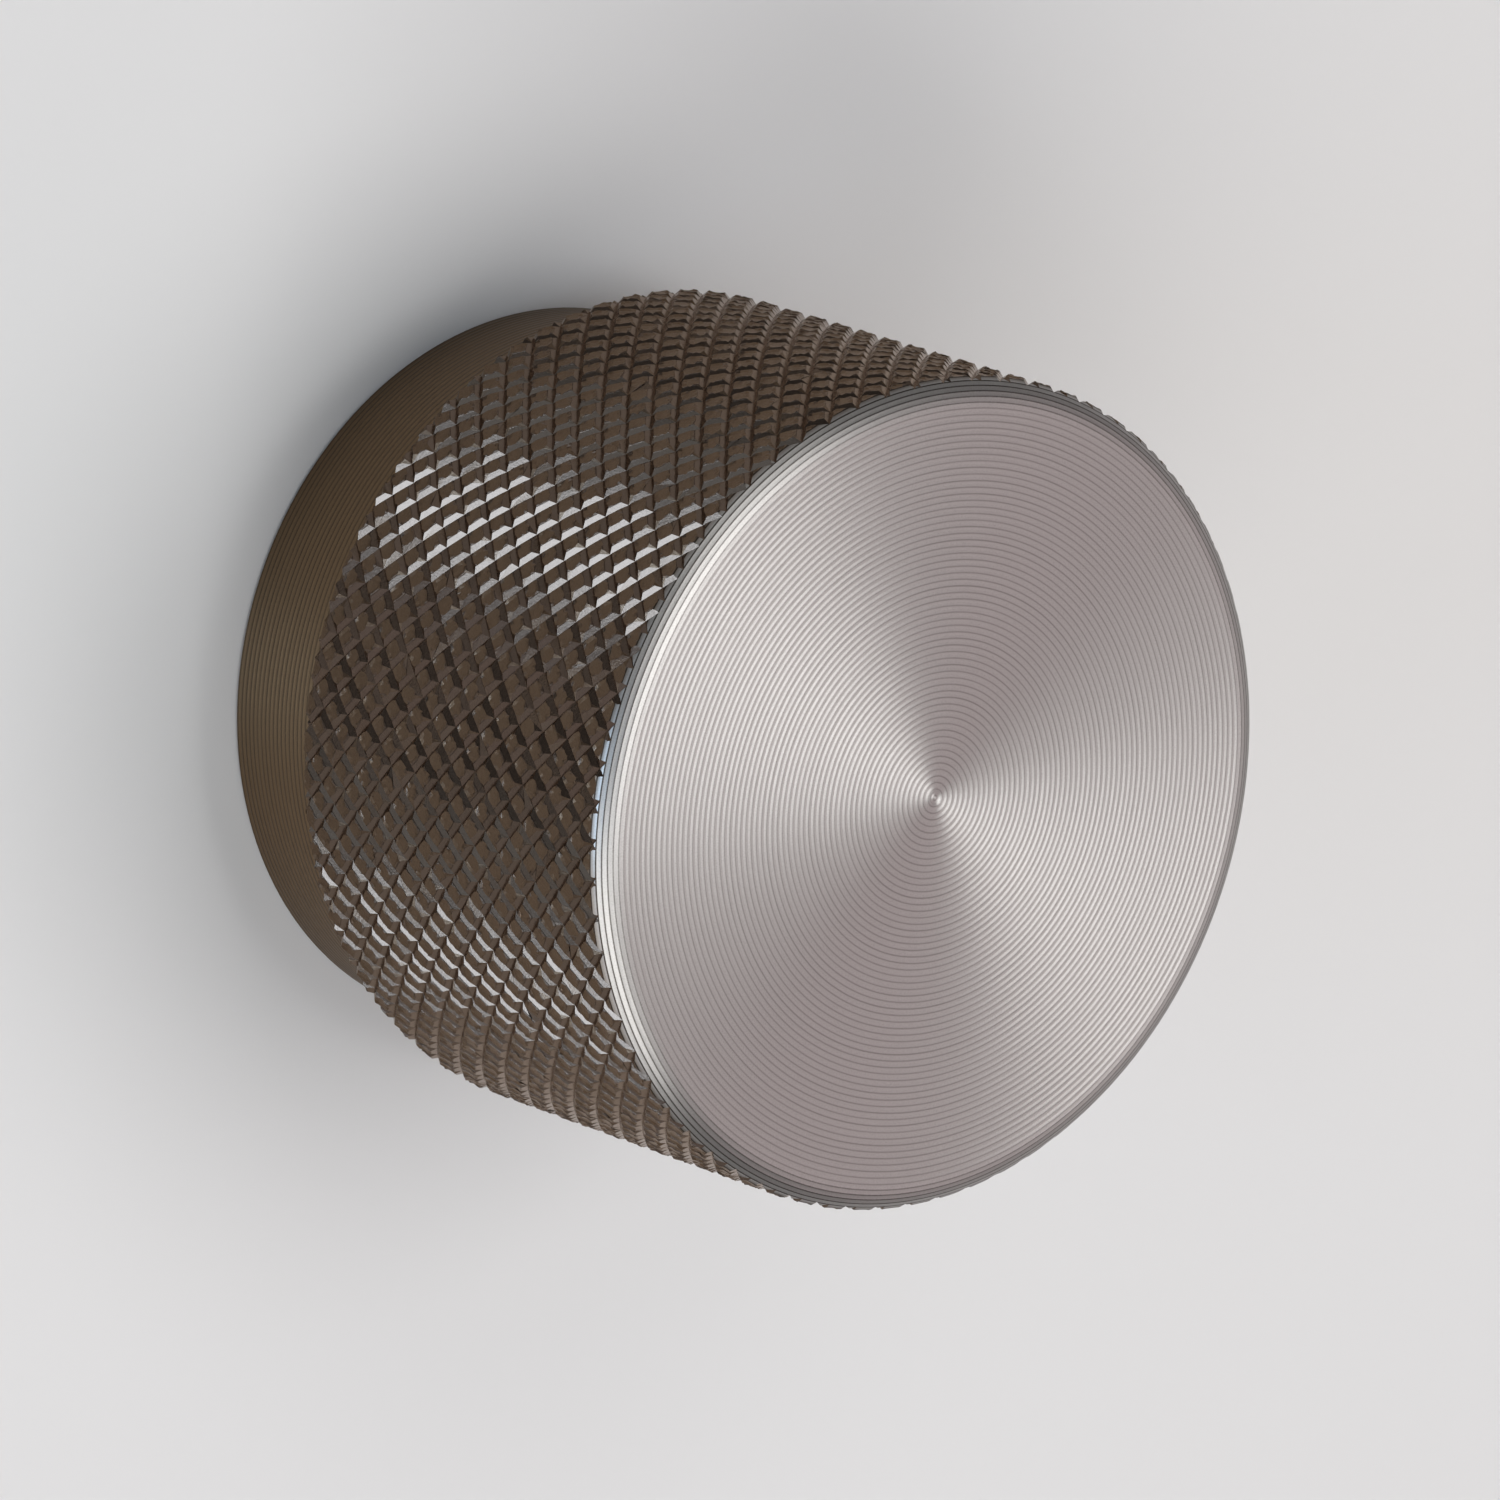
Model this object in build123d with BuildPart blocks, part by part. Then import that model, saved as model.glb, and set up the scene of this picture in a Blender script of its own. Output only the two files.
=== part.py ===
"""Cabinet knob, turned from one bar: knurled grip, plain collar, threaded blind hole.

The origin is at the centre of the back face, which sits on the drawer or door,
and +Z is the knob's axis, pointing out of the furniture. Lengths are millimetres.
"""

import os
from math import asin, atan2, cos, degrees, hypot, pi, radians, sin, tan

from build123d import *

# ---- driving dimensions -------------------------------------------------------

height = 25.0  # back face to front face
collar_radius = 14.0  # plain foot behind the grip
collar_height = 7.0
collar_edge = 0.2  # broken edge where the collar meets the furniture

grip_radius = 16.0  # over the tips of the knurl
face_radius = 14.85  # flat part of the front face
rim_radius = 1.3  # the face rolls over towards the grip
edge_start = 15.7  # and from this radius on, just inside the grooves,
edge_radius = 1.25  # a little more tightly

grooves_right = 68  # grooves round the grip that climb to the right
grooves_left = 72  # and to the left: four more, because the knurl sits at a slight tilt
knurl_depth = 0.2  # tip to groove bottom
knurl_height = 24.22  # two grooves cross at this height over the +X axis

thread_wall_radius = 1.65  # M4, drilled 3.3 mm for tapping
thread_wall_length = 11.65
thread_mouth = 0.35  # countersink at the mouth of the hole
drill_point_angle = radians(118)

# ---- worked out from the driving dimensions -----------------------------------

groove_radius = grip_radius - knurl_depth
stock_radius = grip_radius + 0.05  # the bar, before the knurl takes its skin off
rim_angle = asin((edge_start - face_radius) / rim_radius)
edge_angle = asin((stock_radius - edge_start) / edge_radius + sin(rim_angle)) - rim_angle

# Points of the knurl stand in a square grid on the developed grip. Walking one turn round
# it, the grid's rows climb by as many points as the two kinds of groove differ.
turn_columns = grooves_right + grooves_left
turn_rows = grooves_left - grooves_right
knurl_tilt = atan2(turn_rows, turn_columns)
knurl_step = 2 * pi * grip_radius / hypot(turn_columns, turn_rows)

cap_margin = 1.0  # the core is this much longer than the grip at both ends
turn_climb = turn_rows * knurl_step
rows_above = int((height + cap_margin - knurl_height) / knurl_step) + 1
rows_below = int((knurl_height - collar_height + cap_margin + turn_climb) / knurl_step) + 1

thread_end = thread_mouth + thread_wall_length
drill_end = thread_end + thread_wall_radius / tan(drill_point_angle / 2)


# ---- knurled core: every diamond is a four-sided pyramid -----------------------


def is_crossing(row, column):
    """Two grooves cross at every second point of a row, and tips lie between."""
    return (row + column) % 2 == 0


def knurl_point(row, column):
    """A point of the knurl: a groove crossing or the tip of a diamond."""
    radius = groove_radius if is_crossing(row, column) else grip_radius
    across = knurl_step * (column * cos(knurl_tilt) - row * sin(knurl_tilt))
    along = knurl_step * (column * sin(knurl_tilt) + row * cos(knurl_tilt))
    angle = across / grip_radius
    return Vector(radius * cos(angle), radius * sin(angle), knurl_height + along)


def facet(*corners):
    """A flat face with these corners."""
    return Face(Wire.make_polygon(corners))


def knurl_cell(row, column):
    """The two facets between four neighbouring points, split along the groove."""
    low_left = knurl_point(row, column)
    low_right = knurl_point(row, column + 1)
    high_right = knurl_point(row + 1, column + 1)
    high_left = knurl_point(row + 1, column)
    if is_crossing(row, column):
        yield facet(low_left, low_right, high_right)
        yield facet(low_left, high_right, high_left)
    else:
        yield facet(low_left, low_right, high_left)
        yield facet(low_right, high_right, high_left)


def knurl_end(row, apex_height):
    """The fan that closes the core beyond a row, with a riser where its turn ends."""
    rim = [knurl_point(row, column) for column in range(turn_columns + 1)]
    rim += [knurl_point(row + step, 0) for step in range(turn_rows - 1, -1, -1)]
    apex = Vector(0, 0, apex_height)
    for start, end in zip(rim, rim[1:]):
        yield facet(apex, start, end)


def knurled_core():
    """A solid core with the knurl all over its side, longer than the grip at both ends."""
    facets = []
    for row in range(-rows_below, rows_above):
        for column in range(turn_columns):
            facets.extend(knurl_cell(row, column))
    facets.extend(knurl_end(-rows_below, 0))
    facets.extend(knurl_end(rows_above, 2 * height))
    return Solid(Shell(facets))


# ---- the knob -----------------------------------------------------------------

with BuildPart() as knob:
    # Grip, as turned: a flat face that rolls over into the side.
    with BuildSketch(Plane.XZ):
        with BuildLine():
            face = Line((0, height), (face_radius, height))
            rim = JernArc(face @ 1, (1, 0), rim_radius, -degrees(rim_angle))
            edge = JernArc(rim @ 1, rim % 1, edge_radius, -degrees(edge_angle))
            Polyline(
                edge @ 1,
                (stock_radius, collar_height),
                (0, collar_height),
                (0, height),
            )
        make_face()
    revolve(axis=Axis.Z)

    # Knurl: what stays is inside the knurled core, so the grooves run out on the rim.
    add(knurled_core(), mode=Mode.INTERSECT)

    # Collar, with a broken edge at the back face.
    with BuildSketch(Plane.XY):
        Circle(collar_radius)
    extrude(amount=collar_height)
    back_face = knob.faces().sort_by(Axis.Z)[0]
    chamfer(back_face.edges(), length=collar_edge)

    # Blind hole for the machine screw: countersunk mouth, tapped wall, drill point.
    with BuildSketch(Plane.XZ):
        with BuildLine():
            Polyline(
                (0, 0),
                (thread_wall_radius + thread_mouth, 0),
                (thread_wall_radius, thread_mouth),
                (thread_wall_radius, thread_end),
                (0, drill_end),
                close=True,
            )
        make_face()
    revolve(axis=Axis.Z, mode=Mode.SUBTRACT)

knob.part.label = "knob"

os.makedirs("parts", exist_ok=True)
export_step(knob.part, "parts/knob.step", write_pcurves=False)
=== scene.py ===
"""A turned cabinet knob with a diamond-knurled grip, standing on a pale floor."""

from math import asin, atan2, cos, hypot, pi, radians, sin, tan
from random import Random

import bpy
from mathutils import Matrix, Vector


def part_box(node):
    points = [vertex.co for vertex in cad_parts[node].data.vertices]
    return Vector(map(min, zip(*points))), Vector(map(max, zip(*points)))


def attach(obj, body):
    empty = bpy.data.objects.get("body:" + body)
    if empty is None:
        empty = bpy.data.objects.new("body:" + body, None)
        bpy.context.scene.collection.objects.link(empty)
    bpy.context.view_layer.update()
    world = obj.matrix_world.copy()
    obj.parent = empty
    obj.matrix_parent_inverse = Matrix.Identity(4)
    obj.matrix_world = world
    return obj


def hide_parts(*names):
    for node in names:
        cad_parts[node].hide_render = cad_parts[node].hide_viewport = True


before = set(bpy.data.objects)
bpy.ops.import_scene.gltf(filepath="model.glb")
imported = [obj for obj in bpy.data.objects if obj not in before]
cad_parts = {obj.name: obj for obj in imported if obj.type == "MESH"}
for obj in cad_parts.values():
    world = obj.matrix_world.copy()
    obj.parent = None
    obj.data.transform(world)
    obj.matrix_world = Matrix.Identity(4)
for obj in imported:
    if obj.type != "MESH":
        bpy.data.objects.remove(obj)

bl_info = {
    "name": "Cabinet knob",
    "version": (1, 0, 0),
    "blender": (4, 5, 0),
    "location": "3D View > Sidebar > Knob",
    "description": "Turns, knurls and finishes a metal cabinet knob, and lights it",
    "category": "Add Mesh",
}

MM = 0.001
knob_low, knob_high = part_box("knob")
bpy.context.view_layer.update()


# ---- what a user would change --------------------------------------------------


def length(name, description, default):
    """A size in metres."""
    return bpy.props.FloatProperty(
        name=name,
        description=description,
        default=default,
        min=0.0,
        unit="LENGTH",
        precision=5,
    )


def angle(name, description, degrees):
    """An angle, given in degrees."""
    return bpy.props.FloatProperty(
        name=name,
        description=description,
        default=radians(degrees),
        subtype="ANGLE",
    )


def colour(name, description, default):
    """A linear colour."""
    return bpy.props.FloatVectorProperty(
        name=name,
        description=description,
        default=default,
        size=3,
        min=0.0,
        max=1.0,
        subtype="COLOR",
    )


def share(name, description, default, top=1.0):
    """A plain number from 0 up."""
    return bpy.props.FloatProperty(
        name=name, description=description, default=default, min=0.0, max=top
    )


class TurnedShape(bpy.types.PropertyGroup):
    """Sizes of the turned body."""

    height: length("Height", "Back face to front face", knob_high.z - knob_low.z)
    grip_radius: length("Grip radius", "Over the knurl", (knob_high.x - knob_low.x) / 2)
    face_radius: length("Face radius", "Flat part of the front face", 14.85 * MM)
    rim_radius: length("Rim radius", "Roll of the face into the grip", 1.3 * MM)
    collar_radius: length("Collar radius", "Plain foot", 14.0 * MM)
    collar_height: length("Collar height", "Plain foot", 7.0 * MM)
    collar_edge: length("Collar edge", "Broken edge at the back", 0.2 * MM)
    hole_radius: length("Hole radius", "Tapped hole", 1.65 * MM)
    hole_depth: length("Hole depth", "Full thread, mouth included", 12.0 * MM)
    hole_mouth: length("Hole mouth", "Countersink", 0.35 * MM)
    pip_radius: length("Pip radius", "Left by the tool at the centre", 0.16 * MM)
    sides: bpy.props.IntProperty(
        name="Sides", description="Segments round the turned body", default=180, min=32
    )


class KnurlShape(bpy.types.PropertyGroup):
    """Sizes of the knurl."""

    right: bpy.props.IntProperty(
        name="Right-hand grooves", description="That climb to the right", default=68
    )
    left: bpy.props.IntProperty(
        name="Left-hand grooves", description="That climb to the left", default=72
    )
    crossing: length("Crossing", "Height of one over the X axis", 24.22 * MM)
    depth: length("Depth", "Top of a diamond to groove bottom", 0.2 * MM)
    flank: length("Flank", "Width of a flank", 0.18 * MM)
    rise: length("Rise", "Height of a flank", 0.171 * MM)
    blunt: length("Blunt", "How far the corners of a top are pushed in", 0.09 * MM)
    dish: length("Dish", "How far the middle of a diamond is sunk", 0.02 * MM)
    ragged: length("Ragged", "Unevenness of a top's edge", 0.05 * MM)


class MetalFinish(bpy.types.PropertyGroup):
    """Colours and marks of the metal, with painted reflections and painted shade among them."""

    face_colour: colour("Face", "Bright turned face", (0.46, 0.447, 0.433))
    # The collar, the grip's tops and its flanks are the same steel as the face, painted dark
    # brown: a painted reflection of dark brown surroundings, and painted shade.
    collar_painted_reflection: colour("Collar", "Side of the collar", (0.18, 0.118, 0.066))
    top_painted_reflection: colour("Tops", "Tops of the knurl", (0.115, 0.078, 0.051))
    flank_painted_reflection: colour("Flanks", "Flanks of the knurl", (0.11, 0.082, 0.064))
    speck_colour: colour("Specks", "Dark specks on the tops", (0.035, 0.025, 0.018))
    edge_colour: colour("Edge on", "Tint of the knurl seen edge on", (0.9, 0.8, 0.72))
    # Painted shade: the colour laid along each ridge of the turning marks, for the shaded side
    # of the cusp.
    ridge_shade_colour: colour("Lines", "Dark line on a turning mark", (0.034, 0.025, 0.018))
    feed: length("Feed", "Spacing of the turning marks", 0.25 * MM)
    first_ring: length("First ring", "Radius of the innermost ridge", 0.09 * MM)
    tool_nose: length("Tool nose", "Radius of the tool that cut them", 0.2 * MM)
    mark_height: length("Mark height", "Height of a turning mark", 0.012 * MM)
    roughness: share("Roughness", "Of the turned face", 0.38)
    stretch: share("Stretch", "How far gloss is drawn out across the marks", 0.75)


class StageLook(bpy.types.PropertyGroup):
    """Floor, lights and camera."""

    floor_colour: colour("Floor", "Plain pale floor", (0.72, 0.71, 0.7))
    surround: share("Surround", "Brightness of the surroundings", 0.12, 10.0)
    azimuth: angle("Azimuth", "Of the camera round the knob", 0.0)
    elevation: angle("Elevation", "Of the camera above the floor", 48.813)
    roll: angle("Roll", "Of the camera about its own axis", 108.213)
    distance: length("Distance", "Camera to the middle of the knob", 584.2 * MM)
    aim: bpy.props.FloatVectorProperty(
        name="Aim",
        description="Point that the camera looks at",
        default=(0.46 * MM, -0.004 * MM, 14.17 * MM),
        size=3,
        subtype="XYZ",
        unit="LENGTH",
        precision=5,
    )
    lens: bpy.props.FloatProperty(
        name="Lens",
        description="Focal length for a 36 mm sensor",
        default=369.84,
        min=1.0,
        unit="CAMERA",
    )


# ---- shader arithmetic -----------------------------------------------------------


class Value:
    """A socket that takes part in plain arithmetic."""

    def __init__(self, tree, socket):
        self.tree = tree
        self.socket = socket

    def math(self, operation, *others):
        """A Math node on this value and the others."""
        node = self.tree.node(
            "ShaderNodeMath", {"operation": operation}, dict(enumerate((self, *others)))
        )
        return Value(self.tree, node.outputs[0])

    def __add__(self, other):
        return self.math("ADD", other)

    __radd__ = __add__

    def __sub__(self, other):
        return self.math("SUBTRACT", other)

    def __rsub__(self, other):
        return (self * -1.0) + other

    def __mul__(self, other):
        return self.math("MULTIPLY", other)

    __rmul__ = __mul__

    def __truediv__(self, other):
        return self.math("DIVIDE", other)

    def __pow__(self, other):
        return self.math("POWER", other)

    def above(self, start, end):
        """0 below start, 1 above end, smooth between them."""
        node = self.tree.node(
            "ShaderNodeMapRange",
            {"interpolation_type": "SMOOTHSTEP"},
            {"Value": self, "From Min": start, "From Max": end},
        )
        return Value(self.tree, node.outputs["Result"])


class Finish:
    """A procedural material, built node by node."""

    def __init__(self, name):
        self.material = bpy.data.materials.new(name)
        self.material.use_nodes = True
        self.nodes = self.material.node_tree.nodes
        self.nodes.clear()

    def node(self, kind, settings=None, values=None):
        """A node: its settings first, then values or links for its sockets."""
        made = self.nodes.new(kind)
        for name, value in (settings or {}).items():
            setattr(made, name, value)
        for name, value in (values or {}).items():
            if isinstance(value, Value):
                self.material.node_tree.links.new(value.socket, made.inputs[name])
            else:
                made.inputs[name].default_value = value
        return made

    def out(self, made, name=0):
        """One output of a node, as a value."""
        return Value(self, made.outputs[name])

    def place(self):
        """Where a point is: x, y and z in millimetres."""
        coordinates = self.out(self.node("ShaderNodeTexCoord"), "Object")
        split = self.node("ShaderNodeSeparateXYZ", None, {0: coordinates})
        return [self.out(split, axis) * 1000.0 for axis in "XYZ"]

    def vector(self, x, y, z):
        """Three values as one vector."""
        return self.out(self.node("ShaderNodeCombineXYZ", None, {0: x, 1: y, 2: z}))

    def noise(self, vector, scale, detail=2.0, roughness=0.5):
        """Smooth noise from 0 to 1."""
        made = self.node(
            "ShaderNodeTexNoise",
            None,
            {"Vector": vector, "Scale": scale, "Detail": detail, "Roughness": roughness},
        )
        return self.out(made, "Fac")

    def blend(self, amount, low, high):
        """From colour low to colour high."""
        made = self.node("ShaderNodeMix", {"data_type": "RGBA"}, {"Factor": amount})
        for socket, value in (("A_Color", low), ("B_Color", high)):
            target = next(s for s in made.inputs if s.identifier == socket)
            if isinstance(value, Value):
                self.material.node_tree.links.new(value.socket, target)
            else:
                target.default_value = (*value, 1.0)
        return Value(
            self, next(s for s in made.outputs if s.identifier == "Result_Color")
        )

    def bump(self, height, distance, under=None):
        """Relief of a given height in metres, on top of another if there is one."""
        values = {"Height": height, "Distance": distance, "Strength": 1.0}
        if under is not None:
            values["Normal"] = under
        return self.out(self.node("ShaderNodeBump", None, values))

    def metal(self, base, roughness, relief, stretch=0.0, turn=0.0, edge=(1.0, 1.0, 1.0)):
        """Closes the material with a metal shader.

        Stretch and turn draw its gloss out across the marks; edge tints it edge on.
        """
        shader = self.node(
            "ShaderNodeBsdfPrincipled",
            None,
            {
                "Base Color": base,
                "Metallic": 1.0,
                "Roughness": roughness,
                "Normal": relief,
                "Anisotropic": stretch,
                "Anisotropic Rotation": turn,
                "Specular Tint": (*edge, 1.0),
            },
        )
        self.node("ShaderNodeOutputMaterial", None, {0: self.out(shader)})
        return self.material


# Heights in millimetres between which one finish of the turned body becomes another; across
# them the colour goes from the collar's painted reflection to the grip's, and from the side's
# painted reflection to the bright face.
COLLAR_TO_GRIP = (10.0, 10.1)
SIDE_TO_RIM = (24.3, 24.6)

# Quarter of a turn: gloss is drawn out across the marks that run round the axis.
ACROSS_THE_MARKS = 0.25


def turned_steel(shape, marks):
    """Bright face and a side painted darker and browner as a painted reflection, with turning
    marks over the face, rim and collar.
    """
    steel = Finish("turned_steel")
    x, y, z = steel.place()
    radius = (x * x + y * y) ** 0.5
    turn = y.math("ARCTAN2", x) / (2 * pi)
    front = z.above(*COLLAR_TO_GRIP)

    # How far the tool was fed: out over the face and round the rim, or along the collar.
    face, rim = shape.face_radius / MM, shape.rim_radius / MM
    slope = ((radius - face) / rim).math("MAXIMUM", 0.0).math("ARCSINE")
    over = radius.math("MINIMUM", face) + slope * (rim + marks.tool_nose / MM)
    collar = (1.0 - front) * (z - shape.collar_height / MM)
    fed = front * (over - marks.first_ring / MM) + collar

    # Painted shade along each ridge, for the shaded side of its cusp, uneven from mark to mark
    # and stronger on the rim and collar, and fine grain over all.
    near_ridge = (fed / (marks.feed / MM)).math("PINGPONG", 0.5)
    ring = steel.noise(steel.vector(fed, 0.0, 0.0), scale=2.3, detail=3.0)
    fine = steel.noise(
        steel.vector(fed * 14.0, turn * 6.0, 0.0), scale=1.0, detail=3.0, roughness=0.6
    )
    grain = steel.noise(steel.vector(x, y, z), scale=22.0)
    line = (1.0 - near_ridge.above(0.0, 0.22)) * (0.12 + 0.42 * ring + 0.9 * slope)
    ridge_shade_and_grain = line * (2.2 - 1.2 * front) + 0.6 * (grain - 0.4)

    # Painted reflection: the collar and the grip's side get dark brown base colours in place of
    # the face's bright steel.
    side = steel.blend(front, tuple(marks.collar_painted_reflection), tuple(marks.top_painted_reflection))
    tone = steel.blend(z.above(*SIDE_TO_RIM), side, tuple(marks.face_colour))
    return steel.metal(
        steel.blend(ridge_shade_and_grain, tone, tuple(marks.ridge_shade_colour)),
        marks.roughness + 0.06 * (fine - 0.5),
        steel.bump(fine, 0.0012 * MM),
        stretch=marks.stretch,
        turn=ACROSS_THE_MARKS,
    )


def knurled_steel(marks):
    """Metal of the knurl, painted dark brown as a painted reflection: smooth on its flanks,
    torn and specked on its tops.
    """
    steel = Finish("knurled_steel")
    x, y, z = steel.place()
    radius = (x * x + y * y) ** 0.5
    place = steel.vector(x, y, z)

    # Tops face out from the axis, and flanks lean away from it by about 45 degrees.
    geometry = steel.node("ShaderNodeNewGeometry")
    normal = steel.node(
        "ShaderNodeSeparateXYZ", None, {0: steel.out(geometry, "True Normal")}
    )
    out = (x * steel.out(normal, "X") + y * steel.out(normal, "Y")) / radius
    top = out.above(0.8, 0.9)
    torn = top.math("MAXIMUM", radius.above(15.95, 15.975))

    smear = steel.noise(place, scale=12.0, detail=3.0, roughness=0.6)
    grain = steel.noise(place, scale=16.0)
    # Painted reflection: tops and flanks get dark brown base colours in place of bright steel.
    knurl_painted_reflection = steel.blend(top, tuple(marks.flank_painted_reflection), tuple(marks.top_painted_reflection))
    specks = 0.9 * (grain - 0.35) * torn
    return steel.metal(
        steel.blend(specks, knurl_painted_reflection, tuple(marks.speck_colour)),
        0.17 + 0.08 * smear + 0.12 * torn,
        steel.bump(smear * (0.17 + 0.83 * torn), 0.02 * MM),
        edge=marks.edge_colour,
    )


# ---- modelling by hand -----------------------------------------------------------


def start_fresh():
    """Nothing selected and object mode, so that the next tool acts on its own piece."""
    if bpy.context.object and bpy.context.object.mode != "OBJECT":
        bpy.ops.object.mode_set(mode="OBJECT")
    bpy.ops.object.select_all(action="DESELECT")


def pick(piece, kind, test):
    """Selects the vertices, edges or faces of the piece that pass a test, in edit mode."""
    bpy.ops.mesh.select_mode(type=kind)
    bpy.ops.mesh.select_all(action="DESELECT")
    bpy.ops.object.mode_set(mode="OBJECT")
    parts = {
        "VERT": piece.data.vertices,
        "EDGE": piece.data.edges,
        "FACE": piece.data.polygons,
    }[kind]
    for part in parts:
        part.select = test(part)
    bpy.ops.object.mode_set(mode="EDIT")


def front_point(shape, run):
    """A point of the front's outline at a run from the centre: radius, height, slope."""
    slope = max(run - shape.face_radius, 0.0) / shape.rim_radius
    radius = min(run, shape.face_radius) + shape.rim_radius * sin(slope)
    return radius, shape.height - shape.rim_radius * (1 - cos(slope)), slope


def front_run(shape, marks, turns):
    """The run from the centre at which the tool is after so many turns."""
    fed = marks.first_ring + (turns - 1) * marks.feed
    past = max(fed - shape.face_radius, 0.0)
    slower = shape.rim_radius / (shape.rim_radius + marks.tool_nose)
    return min(fed, shape.face_radius) + past * slower


def turned_outline(shape, marks):
    """Radius and height of each point of the body's outline, from the hole to the pip."""
    outside = shape.grip_radius + 0.05 * MM
    points = [
        (0.0, shape.hole_depth + shape.hole_radius / tan(radians(118) / 2)),
        (shape.hole_radius, shape.hole_depth),
        (shape.hole_radius, shape.hole_mouth),
        (shape.hole_radius + shape.hole_mouth, 0.0),
        (shape.collar_radius - shape.collar_edge, 0.0),
        (shape.collar_radius, shape.collar_edge),
    ]

    def on_collar(run):
        return shape.collar_radius, run, pi / 2

    def on_front(run):
        return front_point(shape, run)

    hand = Random(5)
    passes = int((shape.collar_height - shape.collar_edge) / marks.feed)
    for turn in range(passes):
        start = shape.collar_height + (turn - passes) * marks.feed
        points += one_mark(marks, hand, on_collar, start, marks.feed)

    # The grip's side is left plain, because the knurl cuts it away.
    points += [(shape.collar_radius, shape.collar_height), (outside, shape.collar_height)]
    slope = asin((outside - shape.face_radius) / shape.rim_radius)
    points.append((outside, shape.height - shape.rim_radius * (1 - cos(slope))))

    # From the rim in to the centre, where the tool left a pip.
    passes = 1
    while front_point(shape, front_run(shape, marks, passes + 1))[0] < outside:
        passes += 1
    for turn in range(passes, 1, -1):
        start, end = (front_run(shape, marks, turn - i) for i in (0, 1))
        points += one_mark(marks, hand, on_front, start, end - start)
    points += [
        (marks.feed, shape.height),
        (shape.pip_radius * 1.5, shape.height - marks.mark_height),
        (shape.pip_radius, shape.height - 1.5 * marks.mark_height),
        (0.0, shape.height),
    ]
    return points


def one_mark(marks, hand, outline, start, width):
    """One turning mark, as a round-nosed tool cuts it: its ridge and its floor."""
    depth = marks.mark_height * hand.uniform(0.9, 1.1)
    for part, sunk in ((0.0, 0.0), (0.5, depth)):
        radius, height, slope = outline(start + part * width)
        yield radius - sunk * sin(slope), height - sunk * cos(slope)


def turn_body(shape, marks):
    """The body as turned: its outline drawn point by point and spun about the axis."""
    points = turned_outline(shape, marks)
    start_fresh()
    bpy.ops.mesh.primitive_plane_add(size=MM, location=(0, 0, points[0][1]))
    body = bpy.context.object
    body.name = "turned_knob"
    bpy.ops.object.transform_apply()
    bpy.ops.object.mode_set(mode="EDIT")
    bpy.ops.mesh.select_all(action="SELECT")
    bpy.ops.mesh.merge(type="CENTER")
    for (radius, height), (new_radius, new_height) in zip(points, points[1:]):
        bpy.ops.mesh.extrude_vertices_move(
            TRANSFORM_OT_translate={
                "value": (new_radius - radius, 0, new_height - height)
            }
        )
    bpy.ops.mesh.select_all(action="SELECT")
    bpy.ops.mesh.spin(
        steps=shape.sides, angle=2 * pi, center=(0, 0, 0), axis=(0, 0, 1)
    )
    bpy.ops.mesh.select_all(action="SELECT")
    bpy.ops.mesh.remove_doubles(threshold=0.0005 * MM)
    bpy.ops.mesh.normals_make_consistent(inside=False)
    bpy.ops.object.mode_set(mode="OBJECT")
    return body


class KnurlGrid:
    """A square grid on the developed grip: grooves cross at every second point of it."""

    def __init__(self, shape, knurl):
        self.round = shape.grip_radius
        self.groove = shape.grip_radius - knurl.depth
        self.mid_flank = self.groove + knurl.rise / 2
        self.columns = knurl.left + knurl.right
        self.rows = knurl.left - knurl.right
        self.tilt = atan2(self.rows, self.columns)
        self.step = 2 * pi * self.round / hypot(self.columns, self.rows)
        self.lean = self.rows * self.step * sin(self.tilt) / self.round
        self.crossing = knurl.crossing
        self.top = 2 + 2 * int((shape.height - knurl.crossing) / self.step / 2)
        depth = (knurl.crossing - shape.collar_height) / self.step + self.rows + 1
        self.bottom = -2 - 2 * int(depth / 2)

    def point(self, row):
        """A crossing of the grid's first column."""
        turned = -row * self.step * sin(self.tilt) / self.round
        return Vector(
            (
                self.groove * cos(turned),
                self.groove * sin(turned),
                self.crossing + row * self.step * cos(self.tilt),
            )
        )

    def place(self, point):
        """Where a point lies in its diamond: across and along, -1 to 1 between corners."""
        turned = atan2(point.y, point.x) * self.round / self.step
        risen = (point.z - self.crossing) / self.step
        across = turned * cos(self.tilt) + risen * sin(self.tilt)
        along = risen * cos(self.tilt) - turned * sin(self.tilt)
        column, row = round(across), round(along)
        if (column + row) % 2 == 0:
            if abs(across - column) > abs(along - row):
                column += 1 if across > column else -1
            else:
                row += 1 if along > row else -1
        return across - column, along - row


# Parts of a top's corner that are pushed in: from how far out, how wide, how much of it.
CORNER_PUSHES = ((0.55, 0.1, 0.7), (0.42, 0.25, 0.3))

# Beyond this distance from its middle, a point of a top is on its edge.
EDGE_OF_TOP = 0.4


def knurl_bar(shape, knurl):
    """A bar with the knurl all over its side, longer than the grip at both ends."""
    grid = KnurlGrid(shape, knurl)
    bar = crossing_column(grid)
    wind_column(bar, grid)
    keep_diamonds(bar, grid)
    sharp = full_pyramids(bar, grid, knurl)
    raise_tops(knurl)
    blunt_corners(bar, grid, shape, knurl)
    wander_edges(bar, grid, shape, knurl)
    settle_on(bar, sharp)
    plain_ends(shape)
    return bar


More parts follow.
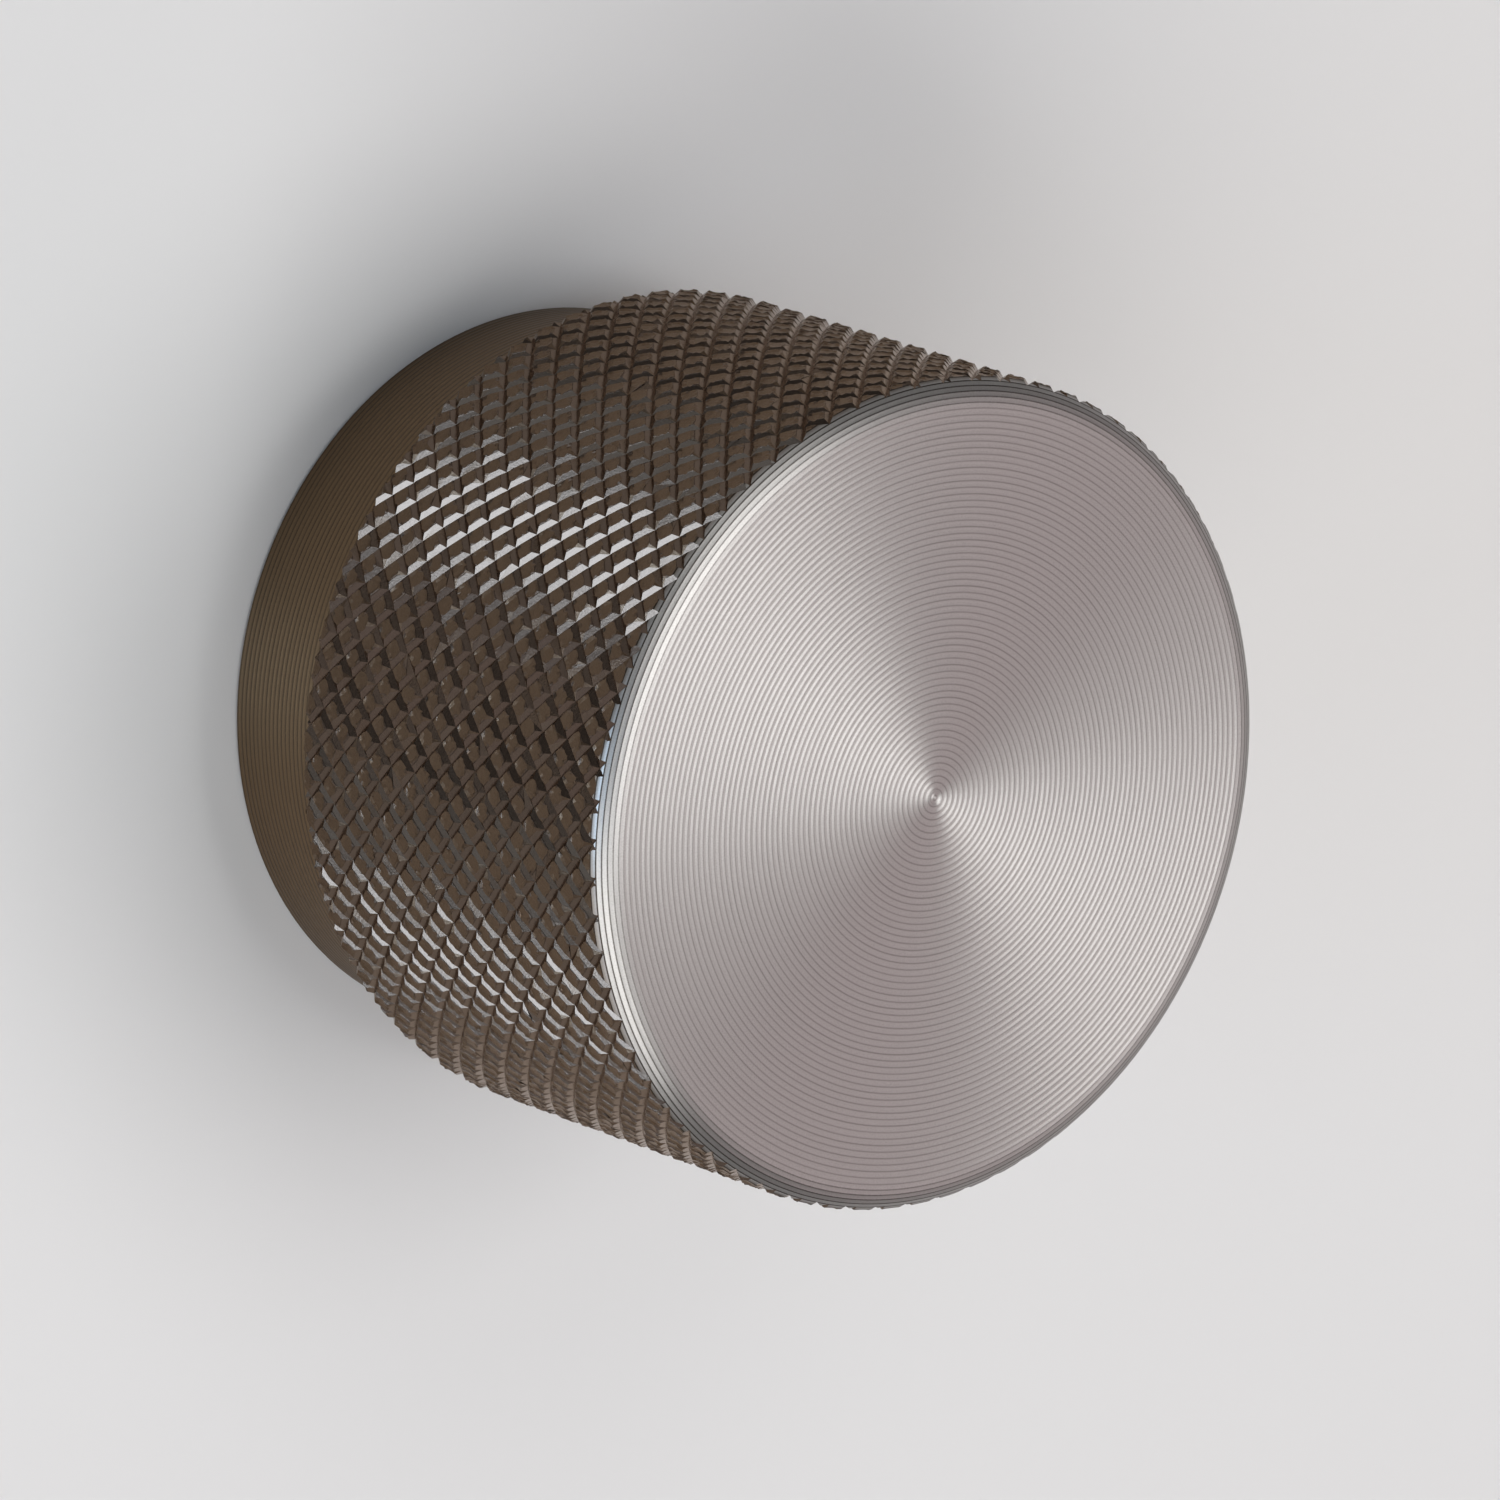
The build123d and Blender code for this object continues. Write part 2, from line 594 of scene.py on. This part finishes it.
def crossing_column(grid):
    """The first column of crossings, drawn from the bottom up."""
    start_fresh()
    bpy.ops.mesh.primitive_plane_add(size=MM, location=grid.point(grid.bottom))
    bar = bpy.context.object
    bar.name = "knurl_bar"
    bpy.ops.object.transform_apply()
    bpy.ops.object.mode_set(mode="EDIT")
    bpy.ops.mesh.select_all(action="SELECT")
    bpy.ops.mesh.merge(type="CENTER")
    for row in range(grid.bottom, grid.top, 2):
        bpy.ops.mesh.extrude_vertices_move(
            TRANSFORM_OT_translate={"value": grid.point(row + 2) - grid.point(row)}
        )
    bpy.ops.object.mode_set(mode="OBJECT")
    return bar


def wind_column(bar, grid):
    """Winds the column round: one turn of a coarse thread meets itself a few rows higher."""
    bpy.ops.object.modifier_add(type="SCREW")
    turn = bar.modifiers[-1]
    turn.angle = 2 * pi - grid.lean
    turn.screw_offset = grid.rows * grid.step * cos(grid.tilt)
    turn.steps = turn.render_steps = grid.columns // 2
    bpy.ops.object.modifier_apply(modifier=turn.name)
    bpy.ops.object.mode_set(mode="EDIT")
    bpy.ops.mesh.select_all(action="SELECT")
    bpy.ops.mesh.remove_doubles(threshold=0.01 * MM)
    bpy.ops.mesh.normals_make_consistent(inside=False)
    bpy.ops.mesh.poke()


def keep_diamonds(bar, grid):
    """Takes the wound grid away and leaves the diamonds between its poked middles."""

    def ends_of(edge):
        return [bar.data.vertices[i].co for i in edge.vertices]

    flat = grid.groove * 0.9995
    pick(bar, "EDGE", lambda edge: min(p.xy.length for p in ends_of(edge)) > flat)
    bpy.ops.mesh.dissolve_edges(use_verts=False)
    pick(bar, "VERT", lambda v: v.co.xy.length < flat)
    scale_round(1 / cos((2 * pi - grid.lean) / grid.columns))
    bpy.ops.object.mode_set(mode="OBJECT")


def raise_tops(knurl):
    """Flanks rise to the tops, and each top is divided so that its edge can wander."""
    bpy.ops.object.mode_set(mode="EDIT")
    bpy.ops.mesh.select_mode(type="FACE")
    bpy.ops.mesh.select_all(action="SELECT")
    bpy.ops.mesh.inset(thickness=knurl.flank, depth=knurl.rise, use_individual=True)
    bpy.ops.mesh.subdivide(number_cuts=3)


def blunt_corners(bar, grid, shape, knurl):
    """Pushes the four corners of every top in, towards its middle."""

    def near_corner(v, way, reach, spread):
        across, along = grid.place(v.co)
        far = across * way[0] + along * way[1]
        off = abs(across * way[1]) + abs(along * way[0])
        return v.co.xy.length > grid.mid_flank and far > reach and off < spread

    for reach, spread, part in CORNER_PUSHES:
        push = part * knurl.blunt
        for way in ((0, 1), (0, -1)):
            pick(bar, "VERT", lambda v: near_corner(v, way, reach, spread))
            bpy.ops.transform.translate(value=(0, 0, -way[1] * push))
        for way in ((1, 0), (-1, 0)):
            pick(bar, "VERT", lambda v: near_corner(v, way, reach, spread))
            bpy.ops.transform.rotate(
                value=way[0] * push / shape.grip_radius,
                orient_axis="Z",
                center_override=(0, 0, 0),
            )


def wander_edges(bar, grid, shape, knurl):
    """Makes the edges of the tops ragged and sinks their middles."""

    def on_top(v, low, high):
        if v.co.xy.length < grid.mid_flank:
            return False
        across, along = grid.place(v.co)
        return low <= abs(across) + abs(along) < high

    pick(bar, "VERT", lambda v: on_top(v, EDGE_OF_TOP, 2.0))
    bpy.ops.transform.vertex_random(offset=knurl.ragged, uniform=1.0, normal=0.0, seed=3)
    bpy.ops.object.vertex_group_assign_new()
    pick(bar, "VERT", lambda v: on_top(v, 0.0, EDGE_OF_TOP))
    scale_round(1 - knurl.dish / shape.grip_radius)
    bpy.ops.object.mode_set(mode="OBJECT")


def settle_on(bar, sharp):
    """Puts the edges that wandered back on the flanks of the sharp pyramids."""
    bpy.ops.object.modifier_add(type="SHRINKWRAP")
    settle = bar.modifiers[-1]
    settle.wrap_method = "NEAREST_SURFACEPOINT"
    settle.target = sharp
    settle.vertex_group = bar.vertex_groups[-1].name
    bpy.ops.object.modifier_apply(modifier=settle.name)
    bar.vertex_groups.clear()
    bpy.data.objects.remove(sharp)


def plain_ends(shape):
    """Lengthens the bar at both ends and closes it."""
    bpy.ops.object.mode_set(mode="EDIT")
    bpy.ops.mesh.select_mode(type="EDGE")
    bpy.ops.mesh.select_all(action="DESELECT")
    bpy.ops.mesh.select_non_manifold(
        use_wire=False, use_multi_face=False, use_non_contiguous=False, use_verts=False
    )
    bpy.ops.mesh.extrude_edges_move()
    bpy.ops.transform.resize(value=(1, 1, 4), center_override=(0, 0, shape.height / 2))
    bpy.ops.mesh.select_all(action="SELECT")
    bpy.ops.mesh.fill_holes(sides=0)
    bpy.ops.mesh.normals_make_consistent(inside=False)
    bpy.ops.object.mode_set(mode="OBJECT")


def full_pyramids(bar, grid, knurl):
    """A copy of the bare diamonds, raised to sharp tips at the slope of the flanks."""
    bpy.ops.object.duplicate()
    sharp = bpy.context.object
    sharp.name = "full_pyramids"
    tip = grid.groove + grid.step / 2**0.5 * knurl.rise / knurl.flank
    middle = grid.groove * (1 + cos(grid.step / grid.round)) / 2
    bpy.ops.object.mode_set(mode="EDIT")
    bpy.ops.mesh.select_all(action="SELECT")
    bpy.ops.mesh.poke(offset=tip - middle)
    bpy.ops.object.mode_set(mode="OBJECT")
    start_fresh()
    bar.select_set(True)
    bpy.context.view_layer.objects.active = bar
    return sharp


def scale_round(factor):
    """Moves what is selected out from the axis, or in."""
    bpy.ops.transform.resize(value=(factor, factor, 1), center_override=(0, 0, 0))


# Degrees: the ridges of the turning marks are sharper than this, and the facets of the
# turned body are not.
SHARP_FROM = 9.5

# The knurl gives the grip many more faces than this, in its own finish.
FEWEST_KNURL_FACES = 10000


class KNOB_OT_turned_knob(bpy.types.Operator):
    """Turn the body, knurl its grip and give it its finish"""

    bl_idname = "knob.turned_knob"
    bl_label = "Turned knob"

    def execute(self, context):
        shape = context.scene.turned_shape
        knurl = context.scene.knurl_shape
        marks = context.scene.metal_finish
        body = turn_body(shape, marks)
        bar = knurl_bar(shape, knurl)
        finishes = (turned_steel(shape, marks), knurled_steel(marks))
        for piece, used in ((body, 0), (bar, 1)):
            for finish in finishes:
                piece.data.materials.append(finish)
            for face in piece.data.polygons:
                face.material_index = used

        start_fresh()
        context.view_layer.objects.active = body
        body.select_set(True)
        bpy.ops.object.modifier_add(type="BOOLEAN")
        cut = body.modifiers[-1]
        cut.operation = "INTERSECT"
        cut.object = bar
        bpy.ops.object.modifier_apply(modifier=cut.name)
        bpy.data.objects.remove(bar)
        bpy.ops.object.shade_smooth_by_angle(angle=radians(SHARP_FROM))
        knurled = sum(face.material_index == 1 for face in body.data.polygons)
        if knurled < FEWEST_KNURL_FACES:
            raise RuntimeError("the knurl didn't cut into the turned body")
        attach(body, "root")
        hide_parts("knob")
        return {"FINISHED"}


# ---- floor, lights and camera ----------------------------------------------------


def direction(azimuth, elevation):
    """Unit vector from the knob to a place round it, both angles in degrees."""
    a, e = radians(azimuth), radians(elevation)
    return Vector((cos(a) * cos(e), sin(a) * cos(e), sin(e)))


PANEL_DISTANCE = 0.8
MIDDLE_OF_KNOB = Vector((0, 0, 12.5 * MM))

# Name, azimuth and elevation in degrees, width and height in metres, brightness, tint.
PANELS = (
    ("window", 293, 9, (0.4, 0.2), 11.3, (0.58, 0.77, 1.0)),
    ("low_left", 262, 9, (0.3, 0.2), 1.0, (0.7, 0.86, 1.0)),
    ("low_right", 332, 6, (0.5, 0.16), 0.7, (1.0, 0.9, 0.92)),
    ("overhead", 122, 79, (0.5, 0.5), 3.7, (1.0, 1.0, 1.0)),
    ("far_panel", 88, 40, (0.9, 0.5), 0.68, (1.0, 0.82, 0.85)),
    ("right_panel", -18, 47, (0.7, 0.5), 3.0, (1.0, 1.0, 1.0)),
    ("left_panel", 206, 52, (0.4, 0.4), 1.2, (1.0, 1.0, 1.0)),
)


def panel_light(name, azimuth, elevation, size, brightness, tint):
    """A soft rectangular light that looks at the knob, as bright as a surface of that value."""
    lamp = bpy.data.lights.new(name, "AREA")
    lamp.shape = "RECTANGLE"
    lamp.size, lamp.size_y = size
    lamp.energy = brightness * pi * size[0] * size[1]
    lamp.color = tint
    holder = bpy.data.objects.new(name, lamp)
    bpy.context.scene.collection.objects.link(holder)
    towards = direction(azimuth, elevation)
    holder.location = towards * PANEL_DISTANCE + MIDDLE_OF_KNOB
    holder.rotation_mode = "QUATERNION"
    holder.rotation_quaternion = (-towards).to_track_quat("-Z", "Y")


def lay_floor(look):
    """A plain pale floor that the knob's back face stands on."""
    start_fresh()
    bpy.ops.mesh.primitive_plane_add(size=6.0, location=(0, 0, 0))
    floor = bpy.context.object
    floor.name = "floor"
    paint = Finish("pale_floor")
    shader = paint.node(
        "ShaderNodeBsdfPrincipled",
        None,
        {"Base Color": (*look.floor_colour, 1.0), "Roughness": 0.9},
    )
    paint.node("ShaderNodeOutputMaterial", None, {0: paint.out(shader)})
    floor.data.materials.append(paint.material)


def set_surroundings(look):
    """An even white world."""
    world = bpy.data.worlds.new("surroundings")
    world.use_nodes = True
    background = world.node_tree.nodes["Background"]
    background.inputs["Color"].default_value = (1.0, 1.0, 1.0, 1.0)
    background.inputs["Strength"].default_value = look.surround
    bpy.context.scene.world = world


def set_camera(look):
    """A long lens that looks down on the knob from one side."""
    lens = bpy.data.cameras.new("camera")
    lens.lens = look.lens
    lens.sensor_width = 36.0
    lens.clip_start, lens.clip_end = 0.01, 20.0
    camera = bpy.data.objects.new("camera", lens)
    bpy.context.scene.collection.objects.link(camera)
    a, e = look.azimuth, look.elevation
    back = Vector((sin(a) * cos(e), -cos(a) * cos(e), sin(e)))
    turned = (-back).to_track_quat("-Z", "Y").to_matrix() @ Matrix.Rotation(
        look.roll, 3, "Z"
    )
    camera.location = Vector(look.aim) + back * look.distance
    camera.rotation_mode = "QUATERNION"
    camera.rotation_quaternion = turned.to_quaternion()
    bpy.context.scene.camera = camera


class KNOB_OT_stage(bpy.types.Operator):
    """Lay the floor, hang the lights and set the camera"""

    bl_idname = "knob.stage"
    bl_label = "Stage"

    def execute(self, context):
        look = context.scene.stage_look
        lay_floor(look)
        set_surroundings(look)
        for panel in PANELS:
            panel_light(*panel)
        set_camera(look)
        context.scene.view_settings.view_transform = "Standard"
        return {"FINISHED"}


class KNOB_PT_sidebar(bpy.types.Panel):
    """The knob's settings and its steps"""

    bl_label = "Cabinet knob"
    bl_idname = "KNOB_PT_sidebar"
    bl_space_type = "VIEW_3D"
    bl_region_type = "UI"
    bl_category = "Knob"

    def draw(self, context):
        """One box of settings for each group, then the two steps."""
        for name, group in GROUPS.items():
            box = self.layout.box()
            settings = getattr(context.scene, name)
            for prop in group.__annotations__:
                box.prop(settings, prop)
        self.layout.operator("knob.turned_knob")
        self.layout.operator("knob.stage")


GROUPS = {
    "turned_shape": TurnedShape,
    "knurl_shape": KnurlShape,
    "metal_finish": MetalFinish,
    "stage_look": StageLook,
}
TOOLS = (KNOB_OT_turned_knob, KNOB_OT_stage, KNOB_PT_sidebar)


def register():
    for made in (*GROUPS.values(), *TOOLS):
        bpy.utils.register_class(made)
    for name, group in GROUPS.items():
        setattr(bpy.types.Scene, name, bpy.props.PointerProperty(type=group))


def unregister():
    for name in GROUPS:
        delattr(bpy.types.Scene, name)
    for made in reversed((*GROUPS.values(), *TOOLS)):
        bpy.utils.unregister_class(made)


def main():
    register()
    bpy.ops.knob.turned_knob()
    bpy.ops.knob.stage()


if __name__ == "__main__":
    main()
